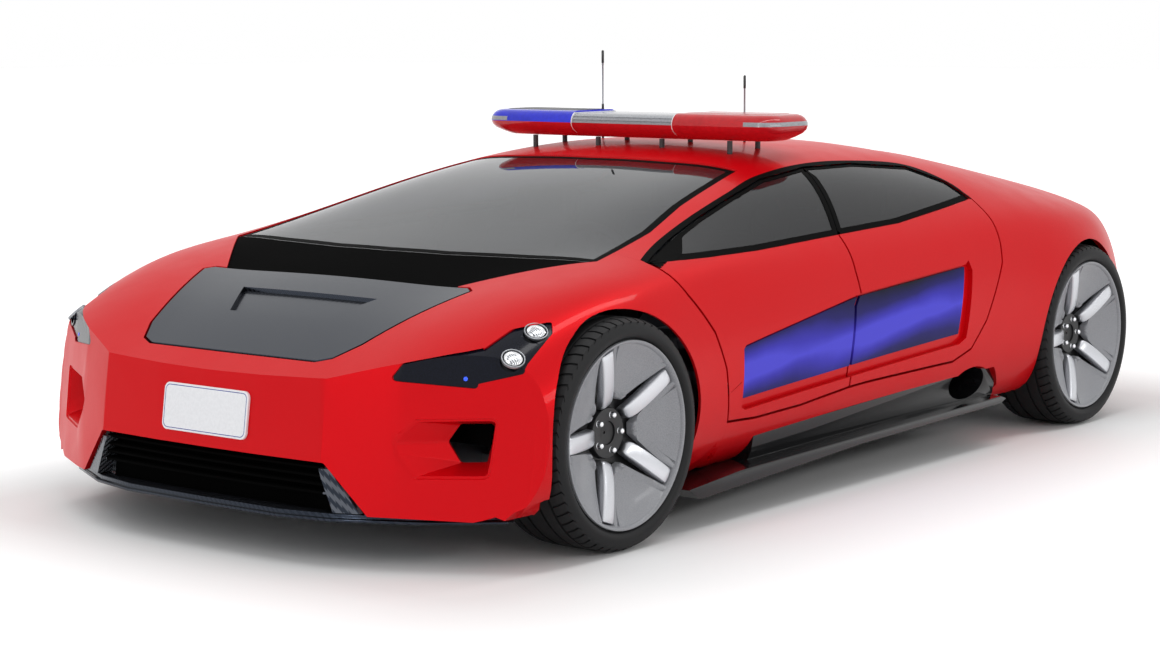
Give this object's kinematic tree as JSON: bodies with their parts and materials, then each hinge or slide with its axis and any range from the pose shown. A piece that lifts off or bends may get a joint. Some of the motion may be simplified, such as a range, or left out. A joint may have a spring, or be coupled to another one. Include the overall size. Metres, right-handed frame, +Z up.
{
  "type": "electric patrol car",
  "caption": "Low wedge-shaped electric patrol car with opposed side doors, steered front wheels, a front boot lid and a beacon bar on the roof.",
  "frame": {"origin": "on the floor under the middle of the car, midway between the axles", "axes": "+X forward, +Y to the car's left, +Z up"},
  "size_m": [4.1615, 1.9908, 1.3639],
  "materials": {
    "red_paint": "gloss",
    "black_gloss": "gloss",
    "black_matte": "matte",
    "dark_glass": "clear",
    "white_plate": "gloss",
    "red_lens": "gloss",
    "blue_lens": "gloss",
    "clear_lens": "gloss",
    "blue_sign": "gloss",
    "tyre": "matte",
    "alloy": "satin",
    "grey_metal": "satin"
  },
  "bodies": {
    "chassis": {"front_shell": "red_paint", "main_shell": "red_paint", "cowl": "black_matte", "windscreen": "dark_glass", "rear_window": "dark_glass", "headlamps": "black_gloss", "grille": "black_matte", "splitter": "black_gloss", "plate": "white_plate", "tail_lamps": "red_lens", "diffuser": "black_matte", "skirts": "black_gloss", "liners": "black_matte", "door_posts": "red_paint", "battery": "grey_metal", "jack_pads": "black_matte", "drive_units": "grey_metal", "suspension": "grey_metal", "boot_tub": "black_matte", "seats": "black_matte", "dashboard": "black_matte", "bar_base": "red_paint", "bar_feet": "black_matte", "bar_blue": "blue_lens", "bar_red": "red_lens", "bar_clear": "clear_lens", "aerials": "grey_metal"},
    "lid": {"lid": "black_gloss"},
    "door_front_left": {"door_fl": "red_paint", "glass_fl": "dark_glass", "sign_fl": "blue_sign"},
    "door_front_right": {"door_fr": "red_paint", "glass_fr": "dark_glass", "sign_fr": "blue_sign"},
    "door_rear_left": {"door_rl": "red_paint", "glass_rl": "dark_glass", "sign_rl": "blue_sign"},
    "door_rear_right": {"door_rr": "red_paint", "glass_rr": "dark_glass", "sign_rr": "blue_sign"},
    "steer_left": {"knuckle_l": "grey_metal"},
    "steer_right": {"knuckle_r": "grey_metal"},
    "wheel_front_left": {"tyre_fl": "tyre", "rim_fl": "alloy"},
    "wheel_front_right": {"tyre_fr": "tyre", "rim_fr": "alloy"},
    "wheel_rear_left": {"tyre_rl": "tyre", "rim_rl": "alloy"},
    "wheel_rear_right": {"tyre_rr": "tyre", "rim_rr": "alloy"}
  },
  "joints": [
    {"name": "steering_left", "type": "hinge", "parent": "chassis", "child": "steer_left", "pos_m": [1.375, 0.82, 0.328], "axis": [0, 0, 1], "range_deg": [-30, 30]},
    {"name": "steering_right", "type": "hinge", "parent": "chassis", "child": "steer_right", "pos_m": [1.375, -0.82, 0.328], "axis": [0, 0, 1], "range_deg": [-30, 30]},
    {"name": "wheel_spin_front_left", "type": "hinge", "parent": "steer_left", "child": "wheel_front_left", "pos_m": [1.375, 0.862, 0.328], "axis": [0, 1, 0], "continuous": true},
    {"name": "wheel_spin_front_right", "type": "hinge", "parent": "steer_right", "child": "wheel_front_right", "pos_m": [1.375, -0.862, 0.328], "axis": [0, 1, 0], "continuous": true},
    {"name": "wheel_spin_rear_left", "type": "hinge", "parent": "chassis", "child": "wheel_rear_left", "pos_m": [-1.375, 0.862, 0.328], "axis": [0, 1, 0], "continuous": true},
    {"name": "wheel_spin_rear_right", "type": "hinge", "parent": "chassis", "child": "wheel_rear_right", "pos_m": [-1.375, -0.862, 0.328], "axis": [0, 1, 0], "continuous": true},
    {"name": "door_swing_front_left", "type": "hinge", "parent": "chassis", "child": "door_front_left", "pos_m": [0.774, 0.958, 0.3], "axis": [-0.3827, 0, -0.9239], "range_deg": [0, 55]},
    {"name": "door_swing_front_right", "type": "hinge", "parent": "chassis", "child": "door_front_right", "pos_m": [0.774, -0.958, 0.3], "axis": [0.3827, 0, 0.9239], "range_deg": [0, 55]},
    {"name": "door_swing_rear_left", "type": "hinge", "parent": "chassis", "child": "door_rear_left", "pos_m": [-0.54, 0.958, 0.3], "axis": [-0.1563, -0.0436, 0.9867], "range_deg": [0, 55]},
    {"name": "door_swing_rear_right", "type": "hinge", "parent": "chassis", "child": "door_rear_right", "pos_m": [-0.54, -0.958, 0.3], "axis": [0.1563, -0.0436, -0.9867], "range_deg": [0, 55]},
    {"name": "lid_swing", "type": "hinge", "parent": "chassis", "child": "lid", "pos_m": [1.552, 0, 0.694], "axis": [0, -1, 0], "range_deg": [0, 55]}
  ],
  "couplings": [
    {"joint": "steering_right", "follows": "steering_left", "ratio": 1}
  ]
}
